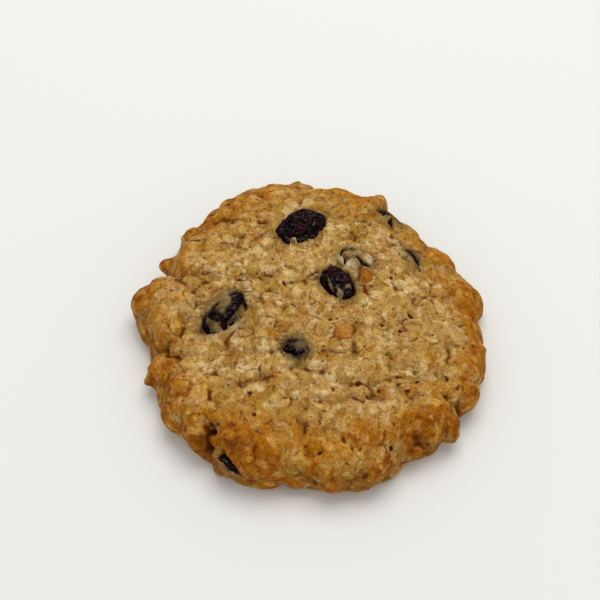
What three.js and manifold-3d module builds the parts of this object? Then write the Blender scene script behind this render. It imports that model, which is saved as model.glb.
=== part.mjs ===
// Oatmeal raisin cookie, baked free-form: a craggy domed disc of dough with a browned rim and a flat
// underside, and eight raisins, each sitting in its own pocket in the dough. Millimetres, +Z up. The
// origin is the middle of the underside, +X runs to the eater's right and +Y away from them.
import * as THREE from "three";
import { mergeVertices } from "three/addons/utils/BufferGeometryUtils.js";
import Module from "manifold-3d";

// The cookie as a whole.
const RADIUS = 42; // of the plain round that the lobes stand out from
const HEIGHT = 16; // of the smooth dome, at its crown
const WIDEST_AT = 4.6; // height of the widest ring above the tray
const SHOULDER = 2.7; // exponent of the dome: 2 is a half ellipsoid, higher is flatter on top
const TUCK = 2.6; // how far the foot stands in from the widest ring
const MIDDLE = [-0.2, 1]; // plan middle of the lobed outline, which is brought to the origin at the end

// Lobes (+) and bays (-) of the outline: [angle in degrees, reach in mm, half width in degrees].
const LOBES = [
  [15, 1.9, 7], [25, -1.5, 4], [42, -2.2, 8], [56, -4, 4.5], [66, 4.2, 3.2], [72, 1, 5], [80, 1.2, 7],
  [99, 4.5, 8], [113, 3.9, 6], [124, 2.2, 5], [136, 1, 4], [146, -1.8, 4], [156, -7.2, 4.5], [169, 2.7, 6],
  [184, -3, 7], [192, -2.4, 4], [204, -2.6, 6], [219, -1.1, 9], [237, -1, 3], [245, 0.5, 5.5],
  [261, -2.8, 6], [288, 1.9, 5], [298, 0.2, 6], [313, 1.2, 5], [323, 1.9, 6], [334, 1.4, 5],
  [345, 1.7, 7], [5, -1, 4],
];

// Gentle waves of the whole crust.
const WAVES = [{ apart: 17, rise: 0.55, seed: 0 }, { apart: 8, rise: 0.35, seed: 5 }];

// Low swells of single lobes: [angle, distance from the middle, width, rise], degrees and mm.
const SWELLS = [
  [222, 36.5, 8, 2.4], [252, 36.5, 8.5, 2.6], [280, 38, 4.5, 1.5], [294, 36, 6, 1.6], [306, 35, 6, 1.2],
  [319, 38, 5.5, 1.5], [334, 37, 6, 1.2], [170, 37, 7, 1.6], [155, 35, 5, 1.2], [118, 37, 6, 1.9],
  [95, 30, 12, 0.8], [266, 20, 6, 1.2], [249, 21.5, 4.5, 0.9], [40, 22, 10, 0.7], [205, 20, 8, -0.8],
];

// Small nubs that stand out of the crust: [angle, share of the way from crown to foot, width, reach].
const NUBS = [
  [150, 0.86, 1.3, 2.2], [198, 0.9, 1.4, 1.6], [277, 0.87, 3.4, 1.7], [320, 0.88, 2, 0.9],
  [352, 0.84, 1.5, 1], [327, 0.16, 2, 1.1], [158, 0.5, 3.2, 1], [239, 0.94, 2.6, 1.2],
  [247, 0.94, 2.8, 0.5],
];

// Clefts and cracks, as runs of [angle, distance from the middle], with a depth and a half width in mm.
const CLEFTS = [
  { depth: 4.6, width: 1.2, run: [[237, 45], [235, 41], [232, 38.5]] },
  { depth: 1.8, width: 1.3, run: [[234, 38], [230, 34], [222, 31]] },
  { depth: 2.4, width: 1.1, run: [[238.5, 41], [245, 42.3], [252, 42.8]] },
  { depth: 1.8, width: 1.5, run: [[271, 43], [268, 36], [267, 31]] },
  { depth: 1.2, width: 1.4, run: [[287, 43], [286, 38], [283, 35]] },
  { depth: 1.8, width: 1.4, run: [[309, 44], [308, 40], [305, 37]] },
  { depth: 1.4, width: 1.4, run: [[327, 43], [326, 38]] },
  { depth: 1.6, width: 1.4, run: [[124, 43], [126, 38], [120, 33], [112, 31]] },
  { depth: 2.4, width: 1.3, run: [[189, 42], [192, 36], [200, 33]] },
  { depth: 0.8, width: 1.6, run: [[152, 19], [132, 15], [120, 10], [94, 10], [70, 11]] },
  { depth: 0.7, width: 1.4, run: [[130, 8], [150, 4], [190, 4]] },
  { depth: 0.7, width: 1.2, run: [[290, 19], [300, 26], [312, 30]] },
  { depth: 0.9, width: 1.2, run: [[236, 25], [252, 18], [262, 16], [282, 17]] },
  { depth: 1.2, width: 0.9, run: [[239, 39.5], [248, 42.4]] },
];

// Dough lumps, spread evenly over the crust like seeds in a sunflower head.
const LUMPS = 190;
const LUMP_WIDTH = [2.8, 6.4]; // least and most
const LUMP_RISE = [0.3, 1.4];
const LUMP_STRAY = 0.3; // radians that a lump may stand off its place in the spiral
const LUMP_SINK = 0.6; // how far the crust between the lumps lies below the smooth one
const LUMP_REACH = 0.97; // share of the way down to the foot that the lumps cover
const RIM_LUMPS = { from: 0.7, times: 1.3 }; // lumps further down than this stand that much higher
const RAGGED = { apart: 2.8, reach: 1.1, seed: 10 }; // bends of the lumps' outlines and of the clefts
const FOOT_FADE = 0.04; // share of the way up from the foot over which the relief grows

// The raisins. Each lies with its middle over the plan point [x, y] and `lift` above the smooth crust,
// turned by `yaw` about the vertical and with its far end raised by `tilt`, degrees and mm.
const RAISINS = [
  { name: "raisin_back", size: [13.6, 10.1, 7.4], at: [-1.6, 25.6], lift: 0.2, yaw: 34, tilt: 0 },
  { name: "raisin_middle", size: [10.8, 7.8, 6.2], at: [7, 8.1], lift: -0.4, yaw: -48, tilt: -6 },
  { name: "raisin_veiled", size: [10.4, 7.4, 5.8], at: [11, 15.8], lift: -0.9, yaw: -25, tilt: 4 },
  { name: "raisin_left", size: [14.2, 9.4, 6.4], at: [-20.8, 0.2], lift: -1.1, yaw: 44, tilt: 5 },
  { name: "raisin_sunk", size: [7.4, 7.2, 6.4], at: [-3.6, -10.9], lift: -1.7, yaw: 20, tilt: 10 },
  { name: "raisin_rim", size: [13.2, 6.5, 4.8], at: [20.1, 31.4], lift: 0, yaw: -76, tilt: 17 },
  { name: "raisin_right", size: [7.8, 5.6, 5], at: [24.6, 17.4], lift: -1.3, yaw: -42, tilt: -8 },
  { name: "raisin_front", size: [11.4, 3.2, 6.4], at: [-17.8, -38], lift: -1.5, yaw: -38, tilt: -8 },
];
const FOLD_DEPTH = 0.14; // of a raisin's long folds, as a share of its radius
const FOLDS = [2.2, 0.8, 2.2]; // how often they come across, along and through the raisin
const POCKET_GAP = 0.3; // clear air between a raisin and its pocket

// Fineness of the faceted solids.
const CRUST_CELLS = 62; // along each side of the square that is wrapped over the dome
const RAISIN_AROUND = 16;
const RAISIN_ALONG = 11;
const MERIDIAN_STEPS = 180;

const DOUGH = new THREE.MeshStandardMaterial({ color: 0xc0904f, roughness: 0.85, metalness: 0 });
const RAISIN = new THREE.MeshStandardMaterial({ color: 0x24100f, roughness: 0.4, metalness: 0 });

const TURN = 2 * Math.PI;
const GOLDEN_ANGLE = Math.PI * (3 - Math.sqrt(5));
const radians = THREE.MathUtils.degToRad;
const clamp = THREE.MathUtils.clamp;
const lerp = THREE.MathUtils.lerp;

// A repeatable number from 0 to 1 for a whole-numbered place.
function dice(i, j = 0, k = 0) {
  const v = Math.sin(i * 127.1 + j * 311.7 + k * 74.7) * 43758.5453;
  return v - Math.floor(v);
}

// Smooth noise from -1 to 1: dice at the corners of a cube of side `apart`, blended between them.
function noise(p, apart, seed) {
  const q = [p.x / apart + seed, p.y / apart + seed, p.z / apart + seed];
  const low = q.map(Math.floor);
  const t = q.map((v, n) => THREE.MathUtils.smoothstep(v - low[n], 0, 1));
  let sum = 0;
  for (let corner = 0; corner < 8; corner++) {
    const bit = [corner & 1, (corner >> 1) & 1, corner >> 2];
    const share = bit.reduce((w, b, n) => w * (b ? t[n] : 1 - t[n]), 1);
    sum += share * dice(low[0] + bit[0], low[1] + bit[1], low[2] + bit[2]);
  }
  return 2 * sum - 1;
}

// The gap between two angles, from -180 to 180 degrees.
const angleGap = (a, b) => ((((a - b) % 360) + 540) % 360) - 180;
const bell = (x) => Math.exp(-x * x);

// Distance of the widest ring from the middle, in the direction of `angle` radians.
function outline(angle) {
  const degrees = (angle * 360) / TURN;
  return LOBES.reduce((r, [at, reach, width]) => r + reach * bell(angleGap(degrees, at) / width), RADIUS);
}

// The section from crown to foot as [share of the outline, height], at even steps along its length.
function meridian() {
  const points = [];
  for (let i = 0; i <= MERIDIAN_STEPS; i++) {
    const a = ((i / MERIDIAN_STEPS) * Math.PI) / 2;
    const power = 2 / SHOULDER;
    points.push([Math.sin(a) ** power, WIDEST_AT + (HEIGHT - WIDEST_AT) * Math.cos(a) ** power]);
  }
  for (let i = 1; i <= MERIDIAN_STEPS; i++) {
    const a = ((i / MERIDIAN_STEPS) * Math.PI) / 2;
    points.push([1 - (TUCK / RADIUS) * (1 - Math.cos(a)), WIDEST_AT * (1 - Math.sin(a))]);
  }
  const along = [0];
  for (let i = 1; i < points.length; i++) {
    const [r, z] = points[i];
    const [r0, z0] = points[i - 1];
    along.push(along[i - 1] + Math.hypot((r - r0) * RADIUS, z - z0));
  }
  return { points, along: along.map((v) => v / along.at(-1)) };
}
const SECTION = meridian();

// Straight-line reading of a table: ys at x, where xs rise.
function read(x, xs, ys) {
  let i = xs.findIndex((v) => v >= x);
  if (i < 1) i = i < 0 ? xs.length - 1 : 1;
  return lerp(ys[i - 1], ys[i], clamp((x - xs[i - 1]) / (xs[i] - xs[i - 1]), 0, 1));
}
const SECTION_RADII = SECTION.points.map((p) => p[0]);
const SECTION_HEIGHTS = SECTION.points.map((p) => p[1]);

// The smooth crust, before anything stands out of it. (a, b) is a place on a unit disc whose middle is
// the crown and whose edge is the foot.
function smoothCrust(a, b) {
  const down = Math.min(Math.hypot(a, b), 1);
  const angle = Math.atan2(b, a);
  const r = outline(angle) * read(down, SECTION.along, SECTION_RADII);
  const z = read(down, SECTION.along, SECTION_HEIGHTS);
  return new THREE.Vector3(r * Math.cos(angle), r * Math.sin(angle), z);
}

// The outward direction of the smooth crust.
function crustNormal(a, b) {
  const inward = Math.min(1, (1 - 2e-3) / Math.max(Math.hypot(a, b), 1e-9));
  const [u, v, step] = [a * inward, b * inward, 1e-3];
  const du = smoothCrust(u + step, v).sub(smoothCrust(u - step, v));
  const dv = smoothCrust(u, v + step).sub(smoothCrust(u, v - step));
  return du.cross(dv).normalize();
}

// The disc place of a point given by angle in degrees and distance from the middle, on the upper side.
const DOME = SECTION_RADII.slice(0, MERIDIAN_STEPS + 1);
function discPlace(degrees, distance) {
  const angle = radians(degrees);
  const down = read(Math.min(distance / outline(angle), 1), DOME, SECTION.along);
  return [down * Math.cos(angle), down * Math.sin(angle)];
}

const onDisc = (degrees, down) => [down * Math.cos(radians(degrees)), down * Math.sin(radians(degrees))];

// The features as places in space.
const swells = SWELLS.map(([degrees, distance, width, rise]) => {
  const at = smoothCrust(...discPlace(degrees, distance));
  return { at, width, rise };
});
const nubs = NUBS.map(([degrees, down, width, reach]) => {
  const [a, b] = onDisc(degrees, down);
  return { at: smoothCrust(a, b), width, reach };
});
const clefts = CLEFTS.map(({ depth, width, run }) => {
  const points = run.map(([degrees, distance]) => smoothCrust(...discPlace(degrees, distance)));
  return { depth, width, points };
});
const lumps = Array.from({ length: LUMPS }, (_, i) => {
  const down = LUMP_REACH * Math.sqrt((i + 0.5) / LUMPS);
  const angle = i * GOLDEN_ANGLE + LUMP_STRAY * dice(i, 1);
  return {
    at: smoothCrust(down * Math.cos(angle), down * Math.sin(angle)),
    width: lerp(...LUMP_WIDTH, dice(i, 2)),
    rise: lerp(...LUMP_RISE, dice(i, 3)) * (down > RIM_LUMPS.from ? RIM_LUMPS.times : 1),
  };
});

function distanceToRun(p, points) {
  const nearest = new THREE.Vector3();
  let least = Infinity;
  for (let i = 1; i < points.length; i++) {
    new THREE.Line3(points[i - 1], points[i]).closestPointToPoint(p, true, nearest);
    least = Math.min(least, nearest.distanceTo(p));
  }
  return least;
}

// p moved in a direction of its own, by three noises.
function bent(p, { apart, reach, seed }) {
  const moves = [1, 2, 3].map((n) => reach * noise(p, apart, seed + n));
  return p.clone().add(new THREE.Vector3(...moves));
}

// How far the finished crust stands out from the smooth one at p.
function relief(p) {
  let h = -LUMP_SINK;
  for (const { apart, rise, seed } of WAVES) h += rise * noise(p, apart, seed);
  for (const { at, width, rise } of swells) h += rise * bell(p.distanceTo(at) / width);
  for (const { at, width, reach } of nubs) h += reach * bell(p.distanceTo(at) / width);
  const ragged = bent(p, RAGGED);
  let lump = 0;
  for (const { at, width, rise } of lumps) {
    const share = ragged.distanceTo(at) / width;
    if (share < 1) lump = Math.max(lump, rise * (1 - share * share));
  }
  h += lump;
  for (const { depth, width, points } of clefts) {
    h -= depth * Math.exp(-distanceToRun(ragged, points) / width);
  }
  return h;
}

// The finished crust. It is pressed flat where it would go through the tray, and its foot doesn't move.
function crust(a, b) {
  const p = smoothCrust(a, b);
  const free = THREE.MathUtils.smoothstep(1 - Math.hypot(a, b), 0, FOOT_FADE);
  const out = p.clone().addScaledVector(crustNormal(a, b), relief(p) * free);
  out.z = Math.max(out.z, 0);
  return out;
}

// A place on a square, carried to the unit disc without crowding at the middle or the corners.
function squareToDisc(a, b) {
  if (a === 0 && b === 0) return [0, 0];
  const flat = Math.abs(a) > Math.abs(b);
  const reach = flat ? a : b;
  const angle = flat ? (Math.PI / 4) * (b / a) : Math.PI / 2 - (Math.PI / 4) * (a / b);
  return [reach * Math.cos(angle), reach * Math.sin(angle)];
}

// The dough before its pockets are cut: the crust as a square net wrapped over the dome, closed below by
// a flat fan.
function doughGeometry() {
  const n = CRUST_CELLS;
  const positions = [];
  const index = [];
  const id = (i, j) => i * (n + 1) + j;
  for (let i = 0; i <= n; i++)
    for (let j = 0; j <= n; j++) {
      const [a, b] = squareToDisc((2 * i) / n - 1, (2 * j) / n - 1);
      const p = crust(a, b);
      if (i % n === 0 || j % n === 0) p.z = 0;
      positions.push(...p.toArray());
    }
  for (let i = 0; i < n; i++)
    for (let j = 0; j < n; j++) {
      const [p, q, r, s] = [id(i, j), id(i + 1, j), id(i + 1, j + 1), id(i, j + 1)];
      if ((i + j) % 2) index.push(p, q, r, p, r, s);
      else index.push(p, q, s, q, r, s);
    }
  const middle = positions.length / 3;
  positions.push(0, 0, 0);
  for (let k = 0; k < n; k++) {
    index.push(id(k + 1, 0), id(k, 0), middle, id(k, n), id(k + 1, n), middle);
    index.push(id(0, k), id(0, k + 1), middle, id(n, k + 1), id(n, k), middle);
  }
  return new THREE.BufferGeometry()
    .setAttribute("position", new THREE.Float32BufferAttribute(positions, 3))
    .setIndex(index);
}

// A raisin about its own middle, with its length along Y: an ovoid with folds that run from end to end.
function raisinGeometry([length, width, depth], seed) {
  const geometry = new THREE.SphereGeometry(1, RAISIN_AROUND, RAISIN_ALONG);
  geometry.deleteAttribute("normal");
  geometry.deleteAttribute("uv");
  const place = geometry.attributes.position;
  for (let i = 0; i < place.count; i++) {
    const p = new THREE.Vector3().fromBufferAttribute(place, i);
    const folds = noise(p.clone().multiply(new THREE.Vector3(...FOLDS)), 1, seed);
    p.multiplyScalar(1 + FOLD_DEPTH * folds);
    place.setXYZ(i, (p.x * width) / 2, (p.y * length) / 2, (p.z * depth) / 2);
  }
  return mergeVertices(geometry, 1e-4);
}

// The raisin's mesh in its place, `grow` mm larger all round.
function raisinMesh({ name, size, at, lift, yaw, tilt }, seed, grow = 0) {
  const mesh = new THREE.Mesh(raisinGeometry(size.map((v) => v + 2 * grow), seed), RAISIN);
  mesh.name = name;
  const degrees = THREE.MathUtils.radToDeg(Math.atan2(at[1], at[0]));
  const [a, b] = discPlace(degrees, Math.hypot(...at));
  mesh.position.copy(smoothCrust(a, b)).addScaledVector(crustNormal(a, b), lift);
  const level = new THREE.Quaternion().setFromUnitVectors(new THREE.Vector3(0, 0, 1), crustNormal(a, b));
  mesh.rotation.set(radians(tilt), 0, radians(yaw - 90), "ZXY");
  mesh.quaternion.premultiply(level);
  mesh.updateMatrixWorld();
  return mesh;
}

const wasm = await Module();
wasm.setup();

function solidOf(mesh) {
  const geometry = mesh.geometry.clone().applyMatrix4(mesh.matrixWorld);
  const vertProperties = geometry.attributes.position.array;
  const triVerts = new Uint32Array(geometry.index.array);
  return new wasm.Manifold(new wasm.Mesh({ numProp: 3, vertProperties, triVerts }));
}

function geometryOf(solid) {
  const { vertProperties, triVerts } = solid.getMesh();
  return new THREE.BufferGeometry()
    .setAttribute("position", new THREE.BufferAttribute(vertProperties, 3))
    .setIndex(new THREE.BufferAttribute(triVerts, 1));
}

// The dough with a pocket for each raisin, and without the crumbs that the cuts leave loose.
function doughMesh() {
  let solid = solidOf(new THREE.Mesh(doughGeometry(), DOUGH));
  RAISINS.forEach((raisin, seed) => {
    solid = solid.subtract(solidOf(raisinMesh(raisin, seed, POCKET_GAP)));
  });
  const [largest] = solid.decompose().sort((p, q) => q.volume() - p.volume());
  const mesh = new THREE.Mesh(geometryOf(largest), DOUGH);
  mesh.name = "dough";
  return mesh;
}

const cookie = new THREE.Group();
cookie.position.set(-MIDDLE[0], -MIDDLE[1], 0);
cookie.add(doughMesh());
RAISINS.forEach((raisin, seed) => cookie.add(raisinMesh(raisin, seed)));

export default cookie;
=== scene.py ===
"""Looks of an oatmeal raisin cookie: the craggy browned dough with its oat flakes, pits and cracks, and eight
wrinkled raisins, some of them under a skin of dough. Lengths are millimetres until a mesh is made in metres."""
import itertools

import bpy
import numpy as np
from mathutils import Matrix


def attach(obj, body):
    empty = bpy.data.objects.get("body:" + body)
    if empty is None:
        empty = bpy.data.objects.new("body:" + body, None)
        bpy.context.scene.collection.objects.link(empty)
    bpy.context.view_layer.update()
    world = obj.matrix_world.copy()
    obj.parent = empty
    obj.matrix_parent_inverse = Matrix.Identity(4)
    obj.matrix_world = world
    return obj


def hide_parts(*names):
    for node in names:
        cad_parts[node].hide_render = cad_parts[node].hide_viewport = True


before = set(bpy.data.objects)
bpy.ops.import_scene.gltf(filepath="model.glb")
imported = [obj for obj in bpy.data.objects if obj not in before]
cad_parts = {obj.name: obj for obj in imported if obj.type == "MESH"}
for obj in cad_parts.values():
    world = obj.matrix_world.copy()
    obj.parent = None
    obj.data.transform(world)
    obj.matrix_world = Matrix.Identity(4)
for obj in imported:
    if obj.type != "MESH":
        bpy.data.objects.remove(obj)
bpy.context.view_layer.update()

MM = 0.001
SEED = 7

# ---------------------------------------------------------------- the cookie's form, as in the part's source

RADIUS = 42  # of the plain round that the lobes stand out from
HEIGHT = 16  # of the smooth dome, at its crown
WIDEST_AT = 4.6  # height of the widest ring above the tray
SHOULDER = 2.7  # exponent of the dome: 2 is a half ellipsoid, higher is flatter with a rounder shoulder
TUCK = 2.6  # how far the foot stands in from the widest ring
MIDDLE = (-0.2, 1, 0)  # plan middle of the lobed outline, which is brought to the origin

# Lobes (+) and bays (-) of the outline: angle in degrees, reach in mm, half width in degrees.
LOBES = [
    (15, 1.9, 7), (25, -1.5, 4), (42, -2.2, 8), (56, -4, 4.5), (66, 4.2, 3.2), (72, 1, 5), (80, 1.2, 7),
    (99, 4.5, 8), (113, 3.9, 6), (124, 2.2, 5), (136, 1, 4), (146, -1.8, 4), (156, -7.2, 4.5), (169, 2.7, 6),
    (184, -3, 7), (192, -2.4, 4), (204, -2.6, 6), (219, -1.1, 9), (237, -1, 3), (245, 0.5, 5.5), (261, -2.8, 6),
    (288, 1.9, 5), (298, 0.2, 6), (313, 1.2, 5), (323, 1.9, 6), (334, 1.4, 5), (345, 1.7, 7), (5, -1, 4),
]

# Low swells of the crust: angle, distance from the middle, width, rise.
SWELLS = [
    (222, 36.5, 8, 2.4), (252, 36.5, 8.5, 2.6), (280, 38, 4.5, 1.5), (294, 36, 6, 1.6), (306, 35, 6, 1.2),
    (319, 38, 5.5, 1.5), (334, 37, 6, 1.2), (170, 37, 7, 1.6), (155, 35, 5, 1.2), (118, 37, 6, 1.9),
    (95, 30, 12, 0.8), (266, 20, 6, 1.2), (249, 21.5, 4.5, 0.9), (40, 22, 10, 0.7),
    (205, 20, 8, -0.8),
]

# Small nubs: angle, share of the way down from crown to foot, width, reach.
NUBS = [
    (150, 0.86, 1.3, 2.2), (198, 0.9, 1.4, 1.6), (277, 0.87, 3.4, 1.7), (320, 0.88, 2, 0.9),
    (352, 0.84, 1.5, 1), (327, 0.16, 2, 1.1), (158, 0.5, 3.2, 1), (239, 0.94, 2.6, 1.2), (247, 0.94, 2.8, 0.5),
]

# Clefts and cracks: depth, half width, and the run as places of (angle, distance from the middle).
CLEFTS = [
    (4.6, 1.2, [(237, 45), (235, 41), (232, 38.5)]),
    (1.8, 1.3, [(234, 38), (230, 34), (222, 31)]),
    (2.4, 1.1, [(238.5, 41), (245, 42.3), (252, 42.8)]),
    (1.8, 1.5, [(271, 43), (268, 36), (267, 31)]),
    (1.2, 1.4, [(287, 43), (286, 38), (283, 35)]),
    (1.8, 1.4, [(309, 44), (308, 40), (305, 37)]),
    (1.4, 1.4, [(327, 43), (326, 38)]),
    (1.6, 1.4, [(124, 43), (126, 38), (120, 33), (112, 31)]),
    (2.4, 1.3, [(189, 42), (192, 36), (200, 33)]),
    (0.8, 1.6, [(152, 19), (132, 15), (120, 10), (94, 10), (70, 11)]),
    (0.7, 1.4, [(130, 8), (150, 4), (190, 4)]),
    (0.7, 1.2, [(290, 19), (300, 26), (312, 30)]),
    (0.9, 1.2, [(236, 25), (252, 18), (262, 16), (282, 17)]),
    (1.2, 0.9, [(239, 39.5), (248, 42.4)]),
]

# Dough lumps, spread evenly over the crust like seeds in a sunflower head.
LUMPS = 190
LUMP_WIDTH = (2.8, 6.4)  # least and most
LUMP_RISE = (0.3, 1.4)
LUMP_SINK = 0.6  # how far the crust between the lumps lies below the smooth one
RIM_LUMPS = (0.7, 1.3)  # lumps further down than the first stand the second times as high
RAGGED = (2.8, 1.1)  # how far apart the bends of the lumps' outlines are, and how far they reach

# Raisins: length, width and depth, plan place, lift of the middle above the smooth crust, yaw and tilt.
RAISINS = {
    "raisin_back": ((13.6, 10.1, 7.4), (-1.6, 25.6), 0.2, 34, 0),
    "raisin_middle": ((10.8, 7.8, 6.2), (7, 8.1), -0.4, -48, -6),
    "raisin_veiled": ((10.4, 7.4, 5.8), (11, 15.8), -0.9, -25, 4),
    "raisin_left": ((14.2, 9.4, 6.4), (-20.8, 0.2), -1.1, 44, 5),
    "raisin_sunk": ((7.4, 7.2, 6.4), (-3.6, -10.9), -1.7, 20, 10),
    "raisin_rim": ((13.2, 6.5, 4.8), (20.1, 31.4), 0, -76, 17),
    "raisin_right": ((7.8, 5.6, 5), (24.6, 17.4), -1.3, -42, -8),
    "raisin_front": ((11.4, 3.2, 6.4), (-17.8, -38), -1.5, -38, -8),
}
FOLD_DEPTH = 0.14  # of a raisin's long folds, as a share of its radius

# ---------------------------------------------------------------- what only the looks have

RAISIN_SPOKES = 150  # points round a raisin
RAISIN_RINGS = 96  # steps from end to end
RIDGE_DEPTH = 0.3  # between a raisin's sharp ridges
GROOVE_DEPTH = 0.3  # of its sharp grooves
CRUMPLE_DEPTH = 0.12
DARKEST_DEPTH = 0.6  # at which the wrinkles are painted their darkest, as shade

CRUST_CELLS = 304  # along each side of the square net that is wrapped over the dome
MERIDIAN_STEPS = 180
BASE_SPOKES = 152  # of the flat underside
BASE_RINGS = 24

FLAKES = 560  # oat flakes pressed into the crust, under a thin coat of dough
FLAKE_LENGTH = (2.4, 5.6)
FLAKE_WIDTH = (1.5, 4)
FLAKE_RISE = (-0.2, 0.5)  # of the flake's middle over the crumb; below zero only its lifted end shows
FLAKE_SLOPE = 0.22  # most that a flake's face leans, along and across it
FLAKE_WINDOW = 14  # cells of the net that a flake reaches from its middle, at most
BRAN_SHARE = 0.6  # of the flakes that show a brown edge
CRUMB = [(3.6, 0.85), (1.8, 0.36), (0.9, 0.12)]  # size and rise of the puffs between the flakes
FLAKE_SHARE = 0.9  # of the flakes' relief that stands out of the crumb
GLAZED = 0.8  # share of the flakes' and the crumb's relief that melted away where the crust is toasted
GLAZED_SHOULDER = 0.5  # and on the dome's shoulder
GLAZED_LUMP = 0.7  # and on a sugar lump
FOOT_FADE = 0.04  # share of the way from crown to foot over which all relief dies out at the foot
FINE_FADE = 0.08  # and over which the fine relief does
PITS = 40  # blown bubbles
PIT_WIDTH = (0.2, 0.4)
PIT_DEPTH = (0.35, 0.8)

# Holes that go deeper: angle, distance from the middle, half width, depth.
HOLES = [
    (234, 38.3, 0.8, 2.6), (202, 9.8, 0.45, 1.2), (160, 16, 0.45, 1), (238, 26.4, 0.5, 1.2), (274, 37, 0.45, 1),
    (300, 23, 0.5, 1.2), (246, 31, 0.45, 0.9), (284, 22.3, 0.4, 0.9), (307, 26.9, 0.45, 1), (317, 31.5, 0.4, 0.9),
    (332, 36.4, 0.5, 1.2), (332, 39.7, 0.4, 0.9), (321, 38.7, 0.35, 0.8), (0, 24.2, 0.4, 1), (346, 22.4, 0.5, 1.2),
    (327, 21.7, 0.35, 0.9), (324, 31.5, 0.45, 1), (347, 17.9, 0.4, 0.9), (336, 5.4, 0.4, 0.9), (342, 7.2, 0.4, 0.9),
    (298, 39.2, 0.45, 1), (12, 21.8, 0.4, 0.9),
]

# Short cracks: depth, half width, and the run as places of (angle, distance from the middle).
CRACKS = [
    (0.9, 0.35, [(300, 26.7), (302, 27.7)]),
    (0.9, 0.35, [(319.5, 27.2), (321, 28.2)]),
    (0.9, 0.3, [(0, 23.4), (358, 24.8)]),
    (0.9, 0.3, [(345, 22.2), (347, 23)]),
    (0.8, 0.3, [(237, 25.2), (239, 27)]),
    (0.8, 0.3, [(151, 20.2), (149, 19.6)]),
    (0.8, 0.3, [(133, 15.4), (129, 14.7)]),
    (1, 0.4, [(126, 11.3), (127, 10)]),
    (0.8, 0.3, [(119, 9.9), (116, 9.4)]),
    (0.8, 0.35, [(88, 10.8), (79, 11.6)]),
]

# Slivers of oat on the crust: half width, rise, and the run.
SLIVERS = [
    (0.55, 0.4, [(290, 36.7), (297, 35.7)]), (0.75, 0.5, [(296, 40.4), (291, 42.1)]),
    (0.35, 0.35, [(30, 31.3), (19, 31.6)]), (0.3, 0.3, [(128, 32), (130, 29.3)]),
    (0.3, 0.3, [(127, 29.6), (131, 27.9)]),
]

# Crust that the oven toasted more: angle, distance from the middle, width, strength.
TOASTED = [
    (153, 40.7, 1.8, 1), (112, 41, 3, 0.8), (119, 39.4, 2.2, 0.8), (110, 37.4, 1.2, 1), (120, 26.8, 2, 0.7),
    (144, 28.7, 1.6, 0.6), (155, 33.5, 2.2, 0.6), (157, 29.8, 1.6, 0.6), (170, 42.5, 3.4, 1), (170, 31.5, 2, 0.5),
    (125, 44, 2.4, 0.6), (100, 45, 2.4, 0.7), (93, 44, 2.4, 0.5), (191, 35.3, 3.2, 0.9), (192, 31, 1.8, 0.6),
    (201, 41, 2, 1), (214, 37.4, 4, 0.9), (219, 30.7, 1.8, 0.8), (236, 25.7, 0.9, 1), (227, 16.9, 1.1, 0.8),
    (248, 20.8, 1.8, 0.6), (199, 36, 1.5, 1), (229, 40.6, 3.6, 0.95), (241, 37.4, 3.4, 0.95), (257, 36, 3.2, 0.75),
    (249, 35.6, 2.6, 0.7), (243, 40.3, 1.9, 1), (271, 40.5, 1.7, 1), (238, 29.2, 1.5, 0.5), (275, 41.3, 2.6, 0.85),
    (287, 34.8, 2.5, 0.75), (292, 37.6, 2.5, 0.9), (296, 41.2, 2.6, 0.75), (317, 31.2, 1.7, 0.9),
    (307, 28.5, 1.8, 0.9), (310, 37, 3.4, 0.7), (315, 41.3, 3, 0.9), (335, 40.4, 3.4, 0.9), (295, 32.3, 1.3, 0.8),
    (68, 44, 3, 0.85), (65, 45.4, 1.8, 1), (16, 40.2, 2.2, 0.7), (6, 36.4, 1.7, 0.6), (21, 32.7, 1.2, 0.7),
    (13, 35.3, 1.2, 0.7), (355, 41, 2.2, 0.6), (262, 41, 2.4, 0.5), (184, 41, 2.4, 0.6), (346, 39, 2, 0.6),
]

# Smooth caramel-brown lumps of sugar: angle, distance from the middle, width, and how pale its middle is.
CARAMEL = [(324, 10.6, 2.4, 1), (318, 9.6, 1.9, 0.6), (35, 16.9, 2, 0.4), (38, 17.6, 1.7, 0.35)]

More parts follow.
